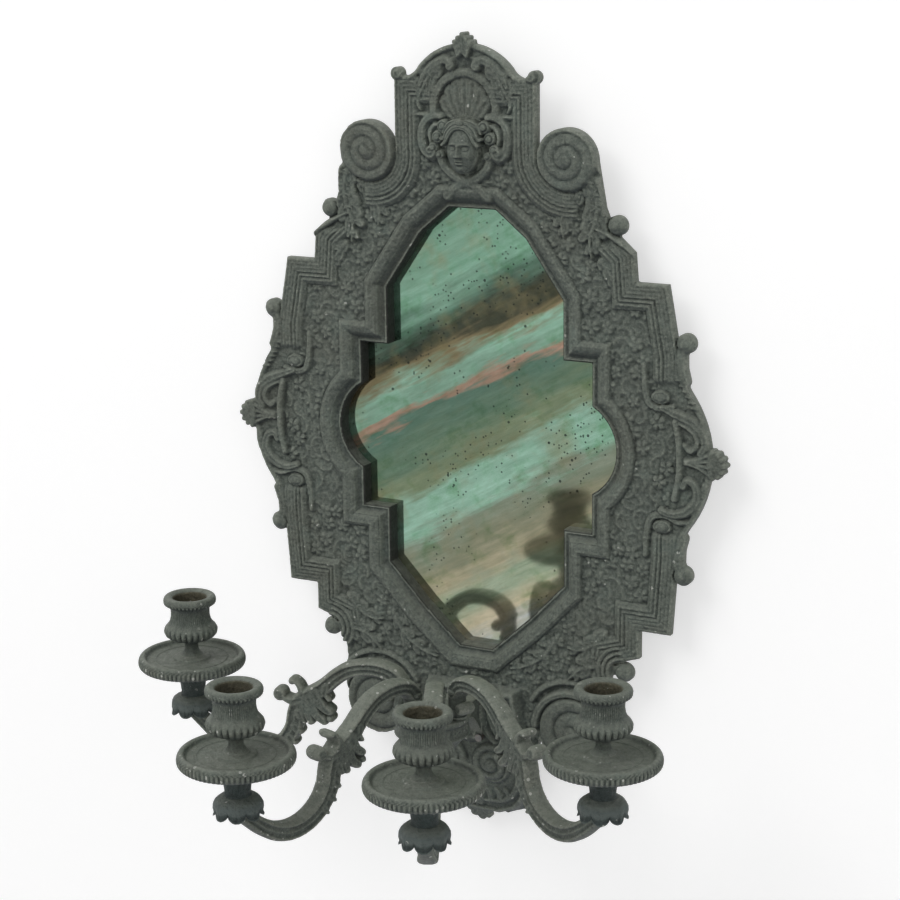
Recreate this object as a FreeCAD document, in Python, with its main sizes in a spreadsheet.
"""Wall mirror with four candle arms: cast frame, recessed glass, bracket and swinging arms.

Lengths are millimetres. X runs to the viewer's right, Z runs up and Y runs into the wall, whose
face is the plane Y = 0. The origin lies in that plane on the centre line, half way between the
tip of the crest finial and the tip of the lower leaf. A depth is a distance out from the wall.
"""
import FreeCAD
import Part
import Sketcher
import math
import os

Vector = FreeCAD.Vector

# Each row: alias, value, what it measures.
SIZES = (
    # section of the frame casting, measured out from the wall
    ("border_front", 24.0, "depth of the front of the outer border"),
    ("edge_thickness", 6.0, "thickness of the casting at its outer edge"),
    ("field_drop", 3.0, "step from the border down to the ornamented field"),
    ("border_width", 17.5, "width of the reeded outer border"),
    ("scroll_rise", 3.0, "height of the scrolls in front of the border"),
    ("crest_back", 22.0, "depth of the back of the crest, which leans forward"),
    ("crest_thickness", 7.0, "thickness of the crest"),
    # outline of the frame, half widths and heights
    ("crest_top", 263.0, "top of the round crest arch"),
    ("arch_half", 32.5, "half width of the crest arch at its shoulders"),
    ("arch_foot", 248.0, "height of the foot of the crest arch"),
    ("shoulder", 241.5, "height of the shoulders beside the arch"),
    ("shoulder_run", 9.0, "flat length of each shoulder"),
    ("tower_half", 50.5, "half width of the crest tower"),
    ("ear_radius", 4.0, "radius of the ball on each shoulder"),
    ("volute_x", 71.5, "centre of the upper volute from the centre line"),
    ("volute_z", 192.5, "height of the upper volute's centre"),
    ("volute_radius", 20.0, "radius of the upper volute"),
    ("neck_half", 95.5, "half width of the frame below the upper volutes"),
    ("neck_height", 163.0, "height of the waist below the upper volutes"),
    ("upper_curl_x", 103.8, "centre of the upper curl from the centre line"),
    ("upper_curl_z", 152.5, "height of the upper curl"),
    ("curl_radius", 6.4, "radius of the curls and balls on the edge"),
    ("upper_corner_half", 115.5, "half width at the upper corner"),
    ("upper_corner_z", 136.0, "height of the upper corner"),
    ("upper_step_z", 117.5, "height of the upper step"),
    ("upper_step_half", 138.3, "half width at the upper step"),
    ("side_half", 146.5, "half width of the straight sides"),
    ("side_ball_x", 150.8, "centre of the side balls from the centre line"),
    ("side_ball_rise", 75.4, "height of a side ball from the middle of the side lobe"),
    ("lobe_z", 6.0, "height of the middle of the side lobe"),
    ("lobe_reach", 22.5, "how far the side lobe stands out of the straight side"),
    ("lobe_half_height", 66.5, "half height of the side lobe with its hollow ends"),
    ("lobe_shoulder", 41.0, "half height of the convex stretch of the side lobe"),
    ("lower_step_half", 143.0, "half width at the lower step"),
    ("lower_step_z", -110.5, "height of the lower step"),
    ("lower_corner_half", 121.5, "half width at the lower corner"),
    ("lower_corner_z", -129.5, "height of the lower corner"),
    ("lower_curl_x", 110.6, "centre of the lower curl from the centre line"),
    ("lower_curl_z", -141.0, "height of the lower curl"),
    ("lower_neck_half", 99.0, "half width below the lower curls"),
    ("lower_volute_x", 73.5, "centre of the lower volute from the centre line"),
    ("lower_volute_z", -189.0, "height of the lower volute's centre"),
    ("lower_volute_radius", 24.0, "radius of the lower volute"),
    ("console_half", 45.0, "half width of the shield under the lower volutes"),
    ("console_top", -165.0, "height of the top of the shield"),
    ("console_bend", -243.0, "height where the shield starts to close"),
    ("console_bottom", -262.5, "height of the lower edge of the shield"),
    ("console_rise", 6.0, "height of the shield in front of the border"),
    ("console_curve", 45.0, "height of the lower part of the shield that curves back"),
    ("console_tip_front", 16.0, "depth of the front of the shield's lower edge"),
    ("console_tip_back", 9.0, "depth of the back of the shield's lower edge"),
    ("finial_reach", 11.0, "length of each leaf finial out of the edge"),
    ("finial_leaf", 3.0, "radius of one leaf end of a finial"),
    ("mask_z", 198.0, "height of the middle of the crest mask"),
    ("mask_radius", 15.0, "radius of the crest mask"),
    ("niche_z", 222.0, "height of the centre of the crest niche"),
    ("niche_radius", 24.0, "outer radius of the niche arch"),
    ("niche_band", 4.5, "width of the niche arch"),
    # opening for the glass
    ("opening_top", 157.0, "height of the top of the opening"),
    ("opening_top_half", 16.5, "half width of the flat top of the opening"),
    ("opening_bend_half", 38.0, "half width at the upper bend"),
    ("opening_bend_z", 139.5, "height of the upper bend"),
    ("opening_upper_half", 64.5, "half width of the upper part"),
    ("opening_upper_z", 101.0, "height where the upper part gets upright sides"),
    ("opening_step_z", 62.5, "height of the upper step of the opening"),
    ("opening_middle_half", 85.0, "half width of the middle part"),
    ("opening_lobe_z", 5.0, "height of the middle of the round lobe"),
    ("opening_lobe_half_height", 29.0, "half height of the round lobe"),
    ("opening_lobe_reach", 17.0, "how far the round lobe stands out"),
    ("opening_lower_step_z", -50.5, "height of the lower step of the opening"),
    ("opening_lower_half", 65.0, "half width of the lower part"),
    ("opening_lower_z", -89.0, "height where the lower part starts to close"),
    ("opening_slope_half", 39.5, "half width at the lower bend"),
    ("opening_slope_z", -116.0, "height of the lower bend"),
    ("opening_bottom", -141.0, "height of the bottom of the opening"),
    ("opening_bottom_half", 12.0, "half width of the flat bottom"),
    ("moulding_width", 12.5, "width of the sloping moulding round the opening"),
    ("moulding_drop", 7.0, "how far that moulding slopes back to the lip"),
    ("rebate_lap", 3.0, "how far the lip laps over the glass"),
    ("rim_wall", 8.0, "wall of the rear rim that holds the glass"),
    # glass and its back
    ("glass_thickness", 3.0, "thickness of the mirror glass"),
    ("glass_play", 0.4, "gap round the edge of the glass"),
    ("board_thickness", 3.0, "thickness of the backboard"),
    ("back_recess", 2.2, "depth of the backboard in front of the wall"),
    ("clip_length", 16.0, "length of a retaining clip"),
    ("clip_width", 9.0, "width of a retaining clip"),
    ("clip_thickness", 1.0, "thickness of a retaining clip"),
    ("clip_screw_radius", 1.4, "shank radius of a clip screw"),
    ("clip_screw_length", 6.0, "length of a clip screw in the rim"),
    # wall hanger
    ("hanger_z", 205.0, "height of the wall hanger"),
    ("hanger_length", 62.0, "length of the hanger plate"),
    ("hanger_height", 17.0, "height of the hanger plate"),
    ("hanger_thickness", 1.5, "thickness of the hanger plate"),
    ("hanger_gap", 2.0, "gap between the hanger plate and the wall"),
    ("hanger_hole", 4.5, "radius of the hole for the wall screw"),
    ("post_spread", 22.0, "distance of each hanger post from the centre line"),
    ("post_radius", 6.0, "radius of a hanger post"),
    ("hanger_screw_radius", 1.8, "shank radius of a hanger screw"),
    ("hanger_screw_length", 9.0, "length of a hanger screw in its post"),
    # bracket
    ("hub_depth", 82.0, "distance of the hub axis from the wall"),
    ("shelf_top", -166.0, "height of the top of the round shelf"),
    ("shelf_thickness", 16.0, "thickness of the round shelf"),
    ("shelf_radius", 27.5, "radius of the round shelf"),
    ("pivot_circle", 20.0, "radius of the circle that the four pivots stand on"),
    ("beam_width", 24.0, "width of the beam that carries the shelf"),
    ("beam_height", 14.0, "height of that beam"),
    ("foot_half_width", 16.0, "half width of the bracket's foot plate"),
    ("foot_height", 40.0, "height of the bracket's foot plate"),
    ("foot_top", -167.0, "height of the top of the bracket's foot plate"),
    ("foot_thickness", 6.0, "thickness of the bracket's foot plate"),
    ("drop_height", 22.0, "height of the turned drop under the shelf"),
    ("drop_tip", 5.0, "radius of the lower end of the drop"),
    ("bolt_radius", 2.6, "shank radius of a bracket bolt"),
    ("bolt_head_radius", 5.0, "radius of a bolt head"),
    ("bolt_head_height", 3.0, "height of a bolt head"),
    ("bolt_spread", 9.0, "distance of each bolt from the centre line"),
    ("bolt_rise", 13.0, "distance of each bolt from the middle of the foot plate"),
    ("bolt_grip", 4.0, "length of a bolt in the foot plate"),
    # arms
    ("arm_reach", 150.0, "distance from an arm's pivot to its candle axis"),
    ("arm_thickness", 12.0, "thickness of an arm across its scroll"),
    ("eye_radius", 6.5, "radius of the eye at the arm's inner end"),
    ("eye_top", -146.0, "height of the top of the eye"),
    ("seat_gap", 0.3, "gap between the eye and the shelf"),
    ("peg_radius", 3.5, "radius of the pivot peg"),
    ("peg_play", 0.05, "radial clearance of the peg in its socket"),
    ("peg_depth", 12.5, "length of the peg in its socket"),
    ("peg_in_eye", 13.0, "length of the peg in the eye"),
    ("hump_x", 21.0, "centre of the upper scroll from the pivot"),
    ("hump_z", -176.5, "height of the upper scroll's centre"),
    ("hump_radius", 43.5, "outer radius of the upper scroll"),
    ("hump_band", 10.5, "depth of the upper scroll's limb"),
    ("bowl_x", 108.0, "centre of the lower scroll from the pivot"),
    ("bowl_z", -171.0, "height of the lower scroll's centre"),
    ("bowl_radius", 41.0, "outer radius of the lower scroll"),
    ("bowl_band", 14.5, "depth of the lower scroll's limb"),
    ("knot_top", -158.0, "height of the top of the knot between the scrolls"),
    ("knot_curl_radius", 5.6, "radius of the ball curl on the knot"),
    ("boss_top", -173.0, "height of the top of the arm's boss"),
    ("boss_radius", 7.5, "radius of the boss that carries the candle fitting"),
    # candle fitting, from the boss upwards
    ("stud_radius", 2.4, "radius of the stud through the candle fitting"),
    ("stud_play", 0.15, "radial clearance round the stud"),
    ("stud_in_boss", 12.0, "length of the stud in the boss"),
    ("collar_height", 13.5, "height of the leaf collar"),
    ("collar_radius", 15.3, "radius of the leaf collar at its widest"),
    ("collar_ceiling", 3.0, "thickness of the collar over the boss"),
    ("collar_play", 0.3, "gap between the collar and the boss"),
    ("neck_height_part", 23.0, "height of the neck"),
    ("neck_radius", 9.3, "radius of the neck at its foot"),
    ("neck_flare", 11.5, "radius of the neck under the pan"),
    ("pan_radius", 36.3, "radius of the drip pan"),
    ("pan_plate", 2.5, "thickness of the pan's dish"),
    ("pan_rim_width", 5.8, "width of the pan's rim"),
    ("pan_rim_rise", 2.2, "height of the rim over the dish"),
    ("ring_radius", 11.0, "radius of the raised ring in the pan"),
    ("ring_rise", 2.5, "height of that ring"),
    ("nozzle_height", 42.0, "height of the nozzle"),
    ("nozzle_rim", 17.6, "radius of the nozzle's rim"),
    ("nozzle_bulge", 17.0, "radius of the nozzle's bulge"),
    ("nozzle_waist", 12.8, "radius of the nozzle's waist"),
    ("nozzle_stem", 4.6, "radius of the nozzle's stem"),
    ("nozzle_foot", 6.6, "radius of the nozzle's foot"),
    ("stem_height", 11.0, "height of the foot and stem"),
    ("candle_bore", 11.0, "radius of the bore for the candle"),
    ("candle_depth", 20.0, "depth of that bore"),
    ("nut_radius", 5.0, "corner radius of the nut in the nozzle"),
    ("nut_height", 3.0, "height of that nut"),
    ("nut_play", 0.8, "gap round and over the nut in its recess"),
)

# Pivot directions round the hub and the directions in which the arms stand, degrees from the
# outward normal, positive towards the viewer's right.
PIVOT_DIRECTIONS = (-76.0, -10.0, 36.0, 84.0)
ARM_DIRECTIONS = (-80.0, -16.0, 25.5, 63.0)

SIZE = {alias: value for alias, value, _ in SIZES}


def new_sheet(doc):
    """Write the driving sizes into a spreadsheet, one aliased cell each."""
    sheet = doc.addObject("Spreadsheet::Sheet", "sizes")
    for row, (alias, value, meaning) in enumerate(SIZES, start=1):
        sheet.set(f"A{row}", str(value))
        sheet.setAlias(f"A{row}", alias)
        sheet.set(f"B{row}", meaning)
    return sheet


# ---------------------------------------------------------------- flat outlines and prisms

def front_point(x, z, depth):
    """A point at x, z that stands the given depth out from the wall."""
    return Vector(x, -depth, z)


def closed_wire(points, depth):
    """A closed polygon in a plane parallel to the wall."""
    corners = [front_point(x, z, depth) for x, z in points]
    return Part.makePolygon(corners + corners[:1])


def prism(points, back, front):
    """A straight prism on a polygon, from one depth to a greater one."""
    face = Part.Face(closed_wire(points, back))
    return face.extrude(Vector(0, back - front, 0))


def disc(x, z, radius, back, front):
    """A round slab parallel to the wall."""
    return Part.makeCylinder(radius, front - back, front_point(x, z, back), Vector(0, -1, 0))


def both_sides(points):
    """Close the right half of an outline, listed downwards, with its mirror image."""
    return points + [(-x, z) for x, z in reversed(points) if x > 0]


def arc_points(start, middle, end, steps):
    """Points on the circle through three points, ends left out."""
    circle = Part.Arc(*(Vector(x, z, 0) for x, z in (start, middle, end)))
    first, last = circle.FirstParameter, circle.LastParameter
    values = [circle.value(first + (last - first) * i / steps) for i in range(1, steps)]
    return [(p.x, p.y) for p in values]


def grow(points, distance):
    """Move each side of a clockwise outline outwards by a distance and mitre the corners."""
    moved = []
    count = len(points)
    for i, (x, z) in enumerate(points):
        before, after = points[i - 1], points[(i + 1) % count]
        normals = []
        for (ax, az), (bx, bz) in ((before, (x, z)), ((x, z), after)):
            length = math.hypot(bx - ax, bz - az)
            normals.append(((az - bz) / length, (bx - ax) / length))
        (ux, uz), (vx, vz) = normals
        scale = distance / (1 + ux * vx + uz * vz)
        moved.append((x + (ux + vx) * scale, z + (uz + vz) * scale))
    return moved


def core_outline():
    """The stepped outline of the frame without its arch, lobes, volutes and curls."""
    s = SIZE
    lower_neck_z = s["lower_curl_z"] - s["curl_radius"] * 3
    right = [
        (s["tower_half"], s["volute_z"] + s["volute_radius"] / 2),
        (s["tower_half"], s["volute_z"]),
        (s["volute_x"] + s["volute_radius"], s["volute_z"]),
        (s["neck_half"], s["neck_height"]),
        (s["upper_curl_x"] - s["curl_radius"] / 2, s["upper_curl_z"] - s["curl_radius"] / 2),
        (s["upper_corner_half"], s["upper_corner_z"]),
        (s["upper_corner_half"] + 1.5, s["upper_step_z"]),
        (s["upper_step_half"], s["upper_step_z"]),
        (s["side_half"], s["lobe_z"] + s["lobe_half_height"]),
        (s["side_half"], s["lobe_z"] - s["lobe_half_height"]),
        (s["lower_step_half"], s["lower_step_z"]),
        (s["lower_corner_half"], s["lower_step_z"]),
        (s["lower_corner_half"], s["lower_corner_z"]),
        (s["lower_neck_half"] + 4, s["lower_corner_z"] - 6),
        (s["lower_neck_half"], lower_neck_z),
        (s["lower_volute_x"] + s["lower_volute_radius"], s["lower_volute_z"]),
        (s["console_half"] + 6, s["lower_volute_z"] - 2),
        (s["console_half"] + 1, s["lower_volute_z"] - 24),
    ]
    return both_sides(right + console_side())


def console_side():
    """Right half of the lower edge of the shield under the volutes."""
    s = SIZE
    half, bend, bottom = s["console_half"], s["console_bend"], s["console_bottom"]
    return [
        (half, (s["lower_volute_z"] + bend) / 2 - 8),
        (half - 2, bend),
        (half * 0.73, bend - 13),
        (half * 0.42, bottom),
    ]


def opening_outline():
    """The sight edge of the frame, clockwise from the flat top."""
    s = SIZE
    lobe_top = (s["opening_middle_half"], s["opening_lobe_z"] + s["opening_lobe_half_height"])
    lobe_tip = (s["opening_middle_half"] + s["opening_lobe_reach"], s["opening_lobe_z"])
    lobe_end = (s["opening_middle_half"], s["opening_lobe_z"] - s["opening_lobe_half_height"])
    right = [
        (s["opening_top_half"], s["opening_top"]),
        (s["opening_bend_half"], s["opening_bend_z"]),
        (s["opening_upper_half"], s["opening_upper_z"]),
        (s["opening_upper_half"], s["opening_step_z"]),
        (s["opening_middle_half"], s["opening_step_z"]),
        lobe_top,
        *arc_points(lobe_top, lobe_tip, lobe_end, 10),
        lobe_end,
        (s["opening_middle_half"], s["opening_lower_step_z"]),
        (s["opening_lower_half"], s["opening_lower_step_z"]),
        (s["opening_lower_half"], s["opening_lower_z"]),
        (s["opening_slope_half"], s["opening_slope_z"]),
        (s["opening_bottom_half"], s["opening_bottom"]),
    ]
    return both_sides(right)


# ---------------------------------------------------------------- frame casting

def edge_back():
    """Depth of the back of the casting's outer edge."""
    return SIZE["border_front"] - SIZE["edge_thickness"]


def leaf_finial(x, z, direction, back, front):
    """A fan of leaf ends round a root point, pointing in a direction in degrees."""
    leaf = SIZE["finial_leaf"]
    reach = SIZE["finial_reach"] - leaf
    fan = [disc(x, z, leaf * 1.6, back, front)]
    for turn, length in ((-72, 0.85), (-36, 0.85), (0, 1.0), (36, 0.85), (72, 0.85)):
        angle = math.radians(direction + turn)
        across = Vector(-math.sin(angle), 0, math.cos(angle)) * leaf
        root = front_point(x, z, back)
        tip = root + Vector(math.cos(angle), 0, math.sin(angle)) * (reach * length)
        stalk = Part.Face(Part.makePolygon([
            root - across, tip - across, tip + across, root + across, root - across]))
        fan.append(stalk.extrude(Vector(0, back - front, 0)))
        fan.append(disc(tip.x, tip.z, leaf, back, front))
    return fan


def side_lobe(side):
    """The round lobe on one straight side, with its hollow ends."""
    s = SIZE
    root, reach, middle = s["side_half"], s["lobe_reach"], s["lobe_z"]
    end, crown = s["lobe_half_height"], s["lobe_shoulder"]
    knee = root + reach * 0.45

    def at(x, rise):
        return Vector(side * x, -edge_back(), middle + rise)

    edges = [
        Part.LineSegment(at(root - s["border_width"], end), at(root, end)).toShape(),
        Part.Arc(at(root, end), at(root + 3, (end + crown) / 2), at(knee, crown)).toShape(),
        Part.Arc(at(knee, crown), at(root + reach, 0), at(knee, -crown)).toShape(),
        Part.Arc(at(knee, -crown), at(root + 3, -(end + crown) / 2), at(root, -end)).toShape(),
        Part.LineSegment(at(root, -end), at(root - s["border_width"], -end)).toShape(),
        Part.LineSegment(
            at(root - s["border_width"], -end), at(root - s["border_width"], end)).toShape(),
    ]
    return Part.Face(Part.Wire(edges)).extrude(Vector(0, -s["edge_thickness"], 0))


def crest_front():
    """Depth of the front of the crest."""
    return SIZE["crest_back"] + SIZE["crest_thickness"]


def crest_tower():
    """The crest: an upright block with hollow shoulders under a round arch."""
    s = SIZE
    half = s["tower_half"]
    inner = half - s["shoulder_run"]
    hollow = ((inner + s["arch_half"]) / 2 - 1, (s["shoulder"] + s["arch_foot"]) / 2 - 1.5)
    foot = s["volute_z"] - s["volute_radius"] / 2

    def at(x, z):
        return front_point(x, z, s["crest_back"])

    edges = [
        Part.makePolygon([at(-half, foot), at(-half, s["shoulder"]), at(-inner, s["shoulder"])]),
        Part.Arc(at(-inner, s["shoulder"]), at(-hollow[0], hollow[1]),
                 at(-s["arch_half"], s["arch_foot"])).toShape(),
        Part.Arc(at(-s["arch_half"], s["arch_foot"]), at(0, s["crest_top"]),
                 at(s["arch_half"], s["arch_foot"])).toShape(),
        Part.Arc(at(s["arch_half"], s["arch_foot"]), at(*hollow),
                 at(inner, s["shoulder"])).toShape(),
        Part.makePolygon([at(inner, s["shoulder"]), at(half, s["shoulder"]), at(half, foot),
                          at(-half, foot)]),
    ]
    return Part.Face(Part.Wire(edges)).extrude(Vector(0, -s["crest_thickness"], 0))


def edge_ornaments():
    """Volutes, curls, balls and leaf finials along the edge of the frame."""
    s = SIZE
    back = edge_back()
    front = s["border_front"]
    solids = []
    for side in (-1, 1):
        for x, z, radius, face in (
                (s["volute_x"], s["volute_z"], s["volute_radius"], crest_front()),
                (s["lower_volute_x"], s["lower_volute_z"], s["lower_volute_radius"],
                 front + s["scroll_rise"])):
            solids.append(disc(side * x, z, radius, back, face))
            solids.append(disc(side * x, z, radius * 0.35, back, face + s["scroll_rise"] / 2))
        for x, z in (
                (s["upper_curl_x"], s["upper_curl_z"]),
                (s["side_ball_x"], s["lobe_z"] + s["side_ball_rise"]),
                (s["side_ball_x"], s["lobe_z"] - s["side_ball_rise"]),
                (s["lower_curl_x"], s["lower_curl_z"])):
            solids.append(disc(side * x, z, s["curl_radius"], back, front + 1))
            root = x - 3 * s["curl_radius"]
            link = [(side * root, z + 5), (side * x, z + 3), (side * x, z - 3), (side * root, z - 5)]
            solids.append(prism(link, back, front))
        ear_x = side * (s["tower_half"] - s["ear_radius"] / 2)
        ear_z = s["shoulder"] + s["ear_radius"] / 4
        solids.append(disc(ear_x, ear_z, s["ear_radius"], s["crest_back"], crest_front()))
        lobe_tip = s["side_half"] + s["lobe_reach"]
        direction = 0 if side > 0 else 180
        solids += leaf_finial(side * lobe_tip, s["lobe_z"], direction, back, front)
    solids += leaf_finial(0, s["crest_top"] - 4, 90, s["crest_back"], crest_front() + 2)
    solids += leaf_finial(0, s["console_bottom"] + 3.5, -90, s["console_tip_back"],
                          s["console_tip_front"] - 1)
    return solids


def crest_relief():
    """The niche arch and the mask of the crest, as plain masses."""
    s = SIZE
    back = s["crest_back"]
    front = crest_front() + s["scroll_rise"] / 2
    arch = disc(0, s["niche_z"], s["niche_radius"], back, front)
    hollow = disc(0, s["niche_z"], s["niche_radius"] - s["niche_band"], back, front)
    below = prism([(-60, s["niche_z"]), (60, s["niche_z"]), (60, 100), (-60, 100)], 0, 60)
    centre = front_point(0, s["mask_z"], back)
    half_space = Part.makeBox(80, 40, 80, Vector(-40, -back - 40, s["mask_z"] - 40))
    mask = Part.makeSphere(s["mask_radius"], centre).common(half_space)
    return [arch.cut(hollow).cut(below), mask]


def shield():
    """The raised shield on the lower part of the frame, which carries the bracket."""
    s = SIZE
    half = s["console_half"]
    right = [(half * 0.75, s["console_top"]), (half - 3, s["lower_volute_z"] - 24)]
    inner = [(x - 3, z + 2) for x, z in console_side()]
    return prism(both_sides(right + inner), edge_back(), foot_back())


def foot_bend():
    """Height at which the foot of the frame starts to curve back towards the wall."""
    return SIZE["console_bottom"] + SIZE["console_curve"]


def curved_foot():
    """The lowest part of the shield, which curves back towards the wall."""
    s = SIZE
    bend, bottom = foot_bend(), s["console_bottom"]
    right = [(s["console_half"], bend)] + [p for p in console_side() if p[1] < bend]
    outline = prism(both_sides(right), 0, foot_back())
    side_view = [(edge_back(), bend), (s["console_tip_back"], bottom),
                 (s["console_tip_front"], bottom), (foot_back(), bend)]
    corners = [Vector(-s["side_half"], -depth, z) for depth, z in side_view]
    wedge = Part.Face(Part.makePolygon(corners + corners[:1]))
    return outline.common(wedge.extrude(Vector(2 * s["side_half"], 0, 0)))


def clip_places():
    """Middles of the four retaining clips on the rear rim."""
    s = SIZE
    upper = s["opening_upper_half"] + s["rebate_lap"]
    lower = s["opening_lower_half"] + s["rebate_lap"]
    upper_z = (s["opening_upper_z"] + s["opening_step_z"]) / 2
    lower_z = (s["opening_lower_step_z"] + s["opening_lower_z"]) / 2
    return [(side * x, z, side) for side in (-1, 1) for x, z in ((upper, upper_z), (lower, lower_z))]


def bolt_places():
    """Places of the four bolts of the bracket, from the middle of its foot plate."""
    s = SIZE
    middle = s["foot_top"] - s["foot_height"] / 2
    return [(sx * s["bolt_spread"], middle + sz * s["bolt_rise"]) for sx in (-1, 1) for sz in (-1, 1)]


def foot_back():
    """Depth of the face of the shield, on which the bracket's foot plate sits."""
    return SIZE["border_front"] + SIZE["console_rise"]


def frame_casting():
    """The whole frame in one casting, open at the glass and at the bolt holes."""
    s = SIZE
    back, front = edge_back(), s["border_front"]
    core = core_outline()
    opening = opening_outline()
    shoulder_of_moulding = grow(opening, s["moulding_width"])
    lip_depth = front - s["moulding_drop"]
    body = prism(core, back, front)
    field = prism(grow(core, -s["border_width"]), front - s["field_drop"], front + 1)
    field_limit = Part.makeBox(400, 100, 600, Vector(-200, -100, s["console_top"] + 6))
    body = body.cut(field.common(field_limit))
    body = body.fuse([side_lobe(-1), side_lobe(1), shield()])
    below_bend = Part.makeBox(400, 100, 100, Vector(-200, -100, foot_bend() - 100))
    body = body.cut(below_bend)
    body = body.fuse([crest_tower(), curved_foot()] + edge_ornaments() + crest_relief()
                     + [prism(shoulder_of_moulding, back, front)])
    rear_rim = prism(grow(opening, s["rebate_lap"] + s["rim_wall"]), 0, back)
    body = body.fuse(rear_rim)
    slope = Part.makeLoft(
        [closed_wire(opening, lip_depth), closed_wire(shoulder_of_moulding, front)], True, True)
    glass_front = s["back_recess"] + s["board_thickness"] + s["glass_thickness"]
    cuts = [slope, prism(opening, -1, front + 1),
            prism(grow(opening, s["rebate_lap"]), -1, glass_front)]
    for x, z, side in clip_places():
        cuts.append(clip_block(x, z, -1, s["back_recess"], s["seat_gap"]))
        screw_x = x + side * s["rim_wall"] / 2
        cuts.append(disc(screw_x, z, s["clip_screw_radius"], 0,
                         s["back_recess"] + s["clip_screw_length"]))
    for x, z in bolt_places():
        cuts.append(disc(x, z, s["bolt_radius"] + s["stud_play"], 0, foot_back() + 1))
    body = body.cut(cuts)
    posts = []
    for side in (-1, 1):
        post = disc(side * s["post_spread"], s["hanger_z"], s["post_radius"],
                    s["hanger_gap"] + s["hanger_thickness"], back)
        posts.append(post.cut(disc(
            side * s["post_spread"], s["hanger_z"], s["hanger_screw_radius"],
            s["hanger_gap"], s["hanger_gap"] + s["hanger_thickness"] + s["hanger_screw_length"])))
    return body.fuse(posts).removeSplitter()


# ---------------------------------------------------------------- glass, back and hanger

def clip_block(x, z, back, front, play=0.0):
    """A flat block of a clip's size, with play round it."""
    half_x = SIZE["clip_length"] / 2 + play
    half_z = SIZE["clip_width"] / 2 + play
    corners = [(x - half_x, z + half_z), (x + half_x, z + half_z),
               (x + half_x, z - half_z), (x - half_x, z - half_z)]
    return prism(corners, back, front)


def mirror_glass():
    s = SIZE
    edge = grow(opening_outline(), s["rebate_lap"] - s["glass_play"])
    back = s["back_recess"] + s["board_thickness"]
    return prism(edge, back, back + s["glass_thickness"])


def backboard():
    s = SIZE
    edge = grow(opening_outline(), s["rebate_lap"] - s["glass_play"])
    return prism(edge, s["back_recess"], s["back_recess"] + s["board_thickness"])


def retaining_clips():
    s = SIZE
    clips = []
    for x, z, side in clip_places():
        clip = clip_block(x, z, s["back_recess"] - s["clip_thickness"], s["back_recess"])
        hole = disc(x + side * s["rim_wall"] / 2, z, s["clip_screw_radius"] + s["stud_play"],
                    0, s["back_recess"] + 1)
        clips.append(clip.cut(hole))
    return Part.makeCompound(clips)


def screw(x, z, head_back, head_front, tip, shank_radius):
    """A screw driven away from the wall: a flat head and a plain shank."""
    head = disc(x, z, shank_radius * 1.9, head_back, head_front)
    return head.fuse(disc(x, z, shank_radius, head_back, tip)).removeSplitter()


def clip_screws():
    s = SIZE
    seat = s["back_recess"] - s["clip_thickness"]
    tip = s["back_recess"] + s["clip_screw_length"] - s["seat_gap"]
    return Part.makeCompound([
        screw(x + side * s["rim_wall"] / 2, z, seat * 0.25, seat, tip, s["clip_screw_radius"])
        for x, z, side in clip_places()])


def hanger_plate():
    s = SIZE
    half, rise = s["hanger_length"] / 2, s["hanger_height"] / 2
    corners = [(-half, s["hanger_z"] + rise), (half, s["hanger_z"] + rise),
               (half, s["hanger_z"] - rise), (-half, s["hanger_z"] - rise)]
    front = s["hanger_gap"] + s["hanger_thickness"]
    plate = prism(corners, s["hanger_gap"], front)
    holes = [disc(0, s["hanger_z"], s["hanger_hole"], 0, front + 1)]
    for side in (-1, 1):
        holes.append(disc(side * s["post_spread"], s["hanger_z"],
                          s["hanger_screw_radius"] + s["stud_play"], 0, front + 1))
    return plate.cut(holes)


def hanger_screws():
    s = SIZE
    seat = s["hanger_gap"]
    tip = seat + s["hanger_thickness"] + s["hanger_screw_length"] - s["seat_gap"]
    return Part.makeCompound([
        screw(side * s["post_spread"], s["hanger_z"], seat * 0.3, seat, tip,
              s["hanger_screw_radius"]) for side in (-1, 1)])


def bracket_bolts():
    s = SIZE
    head_front = edge_back()
    tip = foot_back() + s["bolt_grip"]
    bolts = []
    for x, z in bolt_places():
        head = disc(x, z, s["bolt_head_radius"], head_front - s["bolt_head_height"], head_front)
        shank = disc(x, z, s["bolt_radius"], head_front - s["bolt_head_height"], tip)
        bolts.append(head.fuse(shank).removeSplitter())
    return Part.makeCompound(bolts)


# ---------------------------------------------------------------- bracket

def pivot_place(index):
    """Axis of an arm's pivot peg in plan."""
    angle = math.radians(PIVOT_DIRECTIONS[index])
    radius = SIZE["pivot_circle"]
    return Vector(radius * math.sin(angle), -SIZE["hub_depth"] - radius * math.cos(angle), 0)


def primitive(doc, kind, name, base, rotation=None, **expressions):
    """Add a Part primitive whose sizes follow the sheet."""
    solid = doc.addObject(f"Part::{kind}", name)
    solid.Placement = FreeCAD.Placement(base, rotation or FreeCAD.Rotation())
    for prop, expression in expressions.items():
        solid.setExpression(prop, expression)
    return solid


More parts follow.
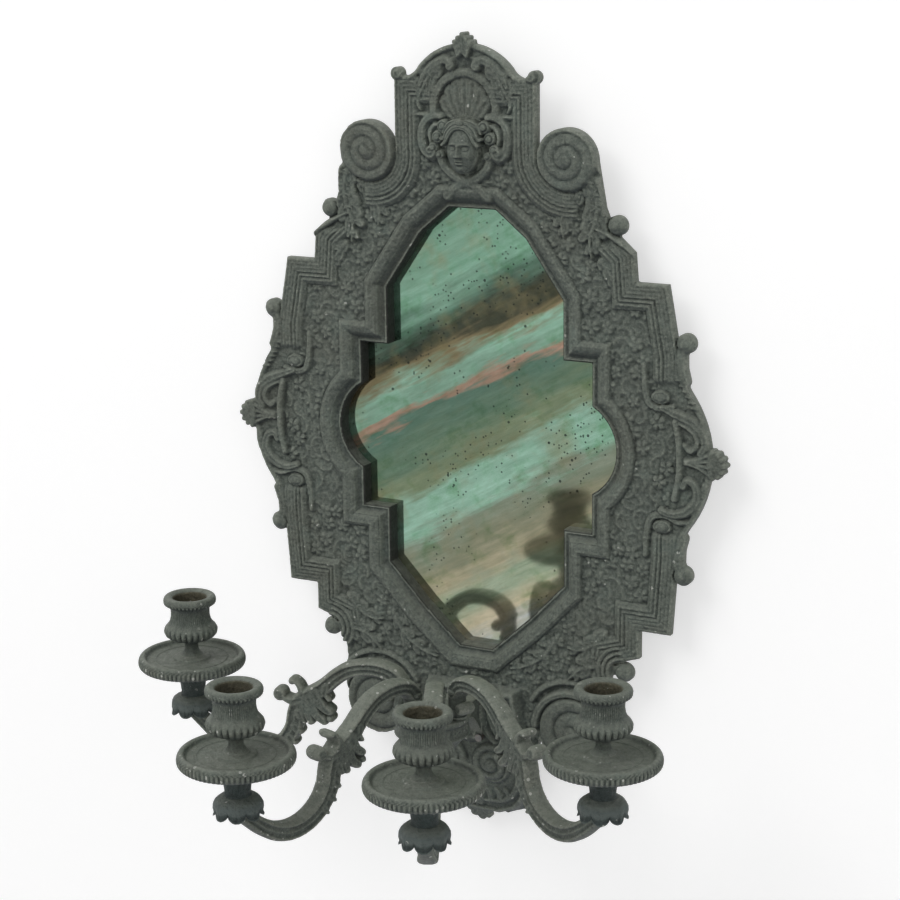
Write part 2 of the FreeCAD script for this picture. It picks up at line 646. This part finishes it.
def arm_bracket(doc):
    """Foot plate, beam, round shelf with four sockets and a turned drop."""
    s = SIZE
    shelf_bottom = s["shelf_top"] - s["shelf_thickness"]
    middle = s["shelf_top"] - s["shelf_thickness"] / 2
    foot = primitive(
        doc, "Box", "bracket_foot",
        Vector(-s["foot_half_width"], -foot_back() - s["foot_thickness"],
               s["foot_top"] - s["foot_height"]),
        Length="2 * sizes.foot_half_width", Width="sizes.foot_thickness",
        Height="sizes.foot_height")
    beam = primitive(
        doc, "Box", "bracket_beam",
        Vector(-s["beam_width"] / 2, -s["hub_depth"], middle - s["beam_height"] / 2),
        Length="sizes.beam_width", Height="sizes.beam_height",
        Width="sizes.hub_depth - sizes.border_front - sizes.console_rise - 1")
    shelf = primitive(
        doc, "Cylinder", "bracket_shelf", Vector(0, -s["hub_depth"], shelf_bottom),
        Radius="sizes.shelf_radius", Height="sizes.shelf_thickness")
    drop = primitive(
        doc, "Cone", "bracket_drop",
        Vector(0, -s["hub_depth"], shelf_bottom - s["drop_height"]),
        Radius1="sizes.drop_tip", Radius2="sizes.shelf_radius * 0.8", Height="sizes.drop_height")
    knob = primitive(
        doc, "Sphere", "bracket_knob",
        Vector(0, -s["hub_depth"], shelf_bottom - s["drop_height"]),
        Radius="sizes.drop_tip * 1.3")
    mass = doc.addObject("Part::MultiFuse", "bracket_mass")
    mass.Shapes = [foot, beam, shelf, drop, knob]
    sockets = []
    for index in range(len(PIVOT_DIRECTIONS)):
        place = pivot_place(index)
        depth = s["peg_depth"] + s["seat_gap"]
        sockets.append(primitive(
            doc, "Cylinder", f"socket_{index + 1}",
            Vector(place.x, place.y, s["shelf_top"] - depth),
            Radius="sizes.peg_radius + sizes.peg_play",
            Height="sizes.peg_depth + sizes.seat_gap + 1"))
    for index, (x, z) in enumerate(bolt_places()):
        sockets.append(primitive(
            doc, "Cylinder", f"bolt_hole_{index + 1}",
            front_point(x, z, foot_back() - 1), FreeCAD.Rotation(Vector(1, 0, 0), 90),
            Radius="sizes.bolt_radius", Height="sizes.bolt_grip + sizes.seat_gap + 1"))
    tools = doc.addObject("Part::MultiFuse", "bracket_holes")
    tools.Shapes = sockets
    bracket = doc.addObject("Part::Cut", "arm_bracket")
    bracket.Base = mass
    bracket.Tool = tools
    return bracket


# ---------------------------------------------------------------- arms

def ring_sector(cx, cz, outer, band, start, end, thickness):
    """A flat curved limb: a sector of a ring in the plane of the arm, angles in degrees."""
    def at(radius, angle):
        a = math.radians(angle)
        return Vector(cx + radius * math.cos(a), -thickness / 2, cz + radius * math.sin(a))

    inner = outer - band
    half = (start + end) / 2
    edges = [
        Part.Arc(at(outer, start), at(outer, half), at(outer, end)).toShape(),
        Part.LineSegment(at(outer, end), at(inner, end)).toShape(),
        Part.Arc(at(inner, end), at(inner, half), at(inner, start)).toShape(),
        Part.LineSegment(at(inner, start), at(outer, start)).toShape(),
    ]
    return Part.Face(Part.Wire(edges)).extrude(Vector(0, thickness, 0))


def slab(points, thickness):
    """A flat piece in the plane of the arm on a polygon."""
    corners = [Vector(x, -thickness / 2, z) for x, z in points]
    return Part.Face(Part.makePolygon(corners + corners[:1])).extrude(Vector(0, thickness, 0))


def cheek(x, z, radius, thickness):
    """A round boss that lies across the arm."""
    return Part.makeCylinder(radius, thickness, Vector(x, -thickness / 2, z), Vector(0, 1, 0))


def arm_shape():
    """One arm in its own plane: pivot at x = 0, candle axis at x = arm_reach."""
    s = SIZE
    width = s["arm_thickness"]
    reach = s["arm_reach"]
    eye_bottom = s["shelf_top"] + s["seat_gap"]
    hump = ring_sector(s["hump_x"], s["hump_z"], s["hump_radius"], s["hump_band"], 40, 124, width)
    limb_end = [(s["hump_x"] + r * math.cos(math.radians(40)),
                 s["hump_z"] + r * math.sin(math.radians(40)))
                for r in (s["hump_radius"] - s["hump_band"] + 0.5, s["hump_radius"])]
    knot_left = s["bowl_x"] - s["bowl_radius"]
    knot_right = knot_left + s["bowl_band"]
    knot = slab([limb_end[0], limb_end[1], (knot_left - 5, s["knot_top"]),
                 (knot_right + 3, s["knot_top"]), (knot_right + 0.5, s["bowl_z"] - 3),
                 (knot_left + 1, s["bowl_z"] - 6), (knot_left - 5, s["bowl_z"] - 5),
                 (knot_left - 16, s["bowl_z"] + 2)], width)
    leaf = slab([(knot_left - 17, s["bowl_z"] + 3), (knot_left - 4, s["bowl_z"] - 3),
                 (knot_left - 9, s["bowl_z"] - 12), (knot_left - 16, s["bowl_z"] - 13),
                 (knot_left - 19, s["bowl_z"] - 5)], width * 0.7)
    curl = cheek(knot_right + 3, s["bowl_z"] + 8.5, s["knot_curl_radius"], width)
    small_curl = cheek(knot_right - 4.5, s["knot_top"] + 2, s["knot_curl_radius"] * 0.55,
                       width * 0.7)
    bowl = ring_sector(s["bowl_x"], s["bowl_z"], s["bowl_radius"], s["bowl_band"], 178, 300, width)
    under_collar = s["boss_top"] + s["collar_ceiling"] - s["collar_height"] - 2 * s["seat_gap"]
    start = [(s["bowl_x"] + r * math.cos(math.radians(300)),
              s["bowl_z"] + r * math.sin(math.radians(300)))
             for r in (s["bowl_radius"] - s["bowl_band"], s["bowl_radius"])]
    tail = slab([start[0], start[1], (reach - 6, under_collar - 10), (reach + 3, under_collar - 4),
                 (reach + 3, under_collar), (reach - 9, under_collar)], width * 0.9)
    boss = Part.makeCylinder(s["boss_radius"], s["boss_top"] - under_collar + 1,
                             Vector(reach, 0, under_collar - 1))
    eye = Part.makeCylinder(s["eye_radius"], s["eye_top"] - eye_bottom, Vector(0, 0, eye_bottom))
    inner_curl = cheek(s["eye_radius"] + 2, s["eye_top"] - 11, 4.2, width * 0.75)
    arm = hump.fuse([knot, leaf, curl, small_curl, bowl, tail, boss, eye, inner_curl])
    peg_hole = Part.makeCylinder(s["peg_radius"], s["peg_in_eye"] + 1, Vector(0, 0, eye_bottom - 1))
    stud_hole = Part.makeCylinder(
        s["stud_radius"] + s["stud_play"], s["stud_in_boss"] + s["seat_gap"],
        Vector(reach, 0, s["boss_top"] - s["stud_in_boss"] - s["seat_gap"]))
    return arm.cut([peg_hole, stud_hole]).removeSplitter()


def revolved_body(doc, name, profile, placement):
    """A turned piece: a closed profile of (radius, height) expressions spun about Z."""
    body = doc.addObject("PartDesign::Body", name)
    sketch = body.newObject("Sketcher::SketchObject", f"{name}_profile")
    plane = next(f for f in body.Origin.OriginFeatures if f.Role == "XZ_Plane")
    sketch.AttachmentSupport = [(plane, "")]
    sketch.MapMode = "FlatFace"
    count = len(profile)
    for i in range(count):
        start, end = (math.radians(360 * k / count) for k in (i, i + 1))
        sketch.addGeometry(Part.LineSegment(
            Vector(30 + math.cos(start), 10 + math.sin(start), 0),
            Vector(30 + math.cos(end), 10 + math.sin(end), 0)), False)
    for i in range(count):
        sketch.addConstraint(Sketcher.Constraint("Coincident", i, 2, (i + 1) % count, 1))
    for i, (radius, height) in enumerate(profile):
        for kind, expression in (("DistanceX", radius), ("DistanceY", height)):
            number = sketch.addConstraint(Sketcher.Constraint(kind, -1, 1, i, 1, 1.0))
            sketch.setExpression(f"Constraints[{number}]", expression)
    turned = body.newObject("PartDesign::Revolution", f"{name}_turned")
    turned.Profile = sketch
    turned.ReferenceAxis = (sketch, ["V_Axis"])
    turned.Angle = 360
    body.Tip = turned
    body.Placement = placement
    return body


STUD_HOLE = "sizes.stud_radius + sizes.stud_play"
NUT_SEAT = "sizes.nozzle_height - sizes.candle_depth - sizes.nut_height - sizes.nut_play"

COLLAR_PROFILE = (
    ("sizes.boss_radius + sizes.collar_play", "0"),
    ("sizes.collar_radius - 2.8", "0"),
    ("sizes.collar_radius", "sizes.collar_height * 0.4"),
    ("sizes.collar_radius", "sizes.collar_height * 0.56"),
    ("sizes.collar_radius - 3.3", "sizes.collar_height * 0.82"),
    ("sizes.neck_radius + 0.5", "sizes.collar_height"),
    (STUD_HOLE, "sizes.collar_height"),
    (STUD_HOLE, "sizes.collar_height - sizes.collar_ceiling"),
    ("sizes.boss_radius + sizes.collar_play", "sizes.collar_height - sizes.collar_ceiling"),
)

NECK_PROFILE = (
    (STUD_HOLE, "0"),
    ("sizes.neck_radius", "0"),
    ("sizes.neck_radius", "sizes.neck_height_part * 0.62"),
    ("sizes.neck_flare", "sizes.neck_height_part * 0.88"),
    ("sizes.neck_flare", "sizes.neck_height_part"),
    (STUD_HOLE, "sizes.neck_height_part"),
)

PAN_PROFILE = (
    (STUD_HOLE, "-sizes.pan_plate"),
    ("sizes.pan_radius - sizes.pan_rim_width", "-sizes.pan_plate"),
    ("sizes.pan_radius - sizes.pan_rim_width / 2", "-sizes.pan_plate - 1"),
    ("sizes.pan_radius", "-sizes.pan_plate / 2"),
    ("sizes.pan_radius", "sizes.pan_rim_rise / 2"),
    ("sizes.pan_radius - sizes.pan_rim_width / 3", "sizes.pan_rim_rise"),
    ("sizes.pan_radius - sizes.pan_rim_width", "sizes.pan_rim_rise * 0.8"),
    ("sizes.pan_radius - sizes.pan_rim_width - 1", "0"),
    ("sizes.ring_radius + 0.8", "0"),
    ("sizes.ring_radius", "sizes.ring_rise"),
    (STUD_HOLE, "sizes.ring_rise"),
)

NOZZLE_PROFILE = (
    (STUD_HOLE, "0"),
    ("sizes.nozzle_foot", "0"),
    ("sizes.nozzle_foot", "1.5"),
    ("sizes.nozzle_stem", "3"),
    ("sizes.nozzle_stem", "sizes.stem_height"),
    ("sizes.nozzle_bulge * 0.7", "sizes.stem_height + 1.5"),
    ("sizes.nozzle_bulge", "sizes.stem_height + 5"),
    ("sizes.nozzle_bulge", "sizes.stem_height + 8"),
    ("sizes.nozzle_waist", "sizes.stem_height + 14"),
    ("sizes.nozzle_waist", "sizes.nozzle_height - 9"),
    ("sizes.nozzle_rim - 2.6", "sizes.nozzle_height - 4"),
    ("sizes.nozzle_rim", "sizes.nozzle_height - 2.6"),
    ("sizes.nozzle_rim", "sizes.nozzle_height - 0.8"),
    ("sizes.nozzle_rim - 2", "sizes.nozzle_height"),
    ("sizes.candle_bore", "sizes.nozzle_height"),
    ("sizes.candle_bore", "sizes.nozzle_height - sizes.candle_depth"),
    ("sizes.nut_radius + sizes.nut_play", "sizes.nozzle_height - sizes.candle_depth"),
    ("sizes.nut_radius + sizes.nut_play", NUT_SEAT),
    (STUD_HOLE, NUT_SEAT),
)


def stacked_heights():
    """Heights of the bottom of each piece of the candle fitting, from the boss upwards."""
    s = SIZE
    collar = s["boss_top"] + s["collar_ceiling"] - s["collar_height"]
    neck = collar + s["collar_height"]
    pan = neck + s["neck_height_part"] + s["pan_plate"]
    nozzle = pan + s["ring_rise"]
    nut = nozzle + s["nozzle_height"] - s["candle_depth"] - s["nut_height"] - s["nut_play"]
    return collar, neck, pan, nozzle, nut


def candle_arm(doc, index):
    """One arm with its peg and candle fitting, standing in its own direction."""
    s = SIZE
    number = index + 1
    turn = FreeCAD.Rotation(Vector(0, 0, 1), ARM_DIRECTIONS[index] - 90)
    pivot = pivot_place(index)
    swing = FreeCAD.Placement(pivot, turn)

    def on_axis(height):
        return swing.multiply(FreeCAD.Placement(Vector(s["arm_reach"], 0, height),
                                                FreeCAD.Rotation()))

    arm = doc.addObject("Part::Feature", f"arm_{number}")
    arm.Shape = arm_shape()
    arm.Placement = swing
    peg = primitive(
        doc, "Cylinder", f"pivot_peg_{number}",
        Vector(pivot.x, pivot.y, s["shelf_top"] - s["peg_depth"]),
        Radius="sizes.peg_radius", Height="sizes.peg_depth + sizes.seat_gap + sizes.peg_in_eye")
    collar_z, neck_z, pan_z, nozzle_z, nut_z = stacked_heights()
    collar = revolved_body(doc, f"leaf_collar_{number}", COLLAR_PROFILE, on_axis(collar_z))
    neck = revolved_body(doc, f"neck_{number}", NECK_PROFILE, on_axis(neck_z))
    pan = revolved_body(doc, f"drip_pan_{number}", PAN_PROFILE, on_axis(pan_z))
    nozzle = revolved_body(doc, f"nozzle_{number}", NOZZLE_PROFILE, on_axis(nozzle_z))
    stud_bottom = s["boss_top"] - s["stud_in_boss"]
    stud = primitive(doc, "Cylinder", f"stud_{number}", Vector(), Radius="sizes.stud_radius")
    stud.Height = nut_z + s["nut_height"] + s["nut_play"] / 2 - stud_bottom
    stud.Placement = on_axis(stud_bottom)
    nut_block = primitive(doc, "Prism", f"nut_block_{number}", Vector(),
                          Circumradius="sizes.nut_radius", Height="sizes.nut_height")
    nut_bore = primitive(doc, "Cylinder", f"nut_bore_{number}", Vector(),
                         Radius=STUD_HOLE, Height="sizes.nut_height")
    nut = doc.addObject("Part::Cut", f"nut_{number}")
    nut.Base = nut_block
    nut.Tool = nut_bore
    nut.Placement = on_axis(nut_z)
    return [arm, peg, collar, neck, pan, nozzle, stud, nut]


# ---------------------------------------------------------------- the whole part

FRAME_PIECES = (frame_casting, mirror_glass, backboard, retaining_clips, clip_screws,
                hanger_plate, hanger_screws, bracket_bolts)


def build():
    doc = FreeCAD.newDocument("candle_arm_mirror")
    new_sheet(doc)
    doc.recompute()
    nodes = []
    for make in FRAME_PIECES:
        piece = doc.addObject("Part::Feature", make.__name__)
        piece.Shape = make()
        nodes.append(piece)
    nodes.append(arm_bracket(doc))
    for index in range(len(ARM_DIRECTIONS)):
        nodes += candle_arm(doc, index)
    doc.recompute()
    return doc, nodes


def check(doc, nodes):
    """Stop on any failed object and on any sub-part without a sound shape."""
    failed = [o.Name for o in doc.Objects if {"Invalid", "Error"} & set(o.State)]
    unsound = [n.Label for n in nodes if n.Shape.isNull() or not n.Shape.isValid()]
    if failed or unsound:
        raise RuntimeError(f"failed objects {failed}, unsound shapes {unsound}")


def export(nodes):
    os.makedirs("parts", exist_ok=True)
    for node in nodes:
        node.Shape.exportStep(f"parts/{node.Label}.step")
        print(node.Label, len(node.Shape.Solids), round(node.Shape.Volume))


document, sub_parts = build()
check(document, sub_parts)
export(sub_parts)
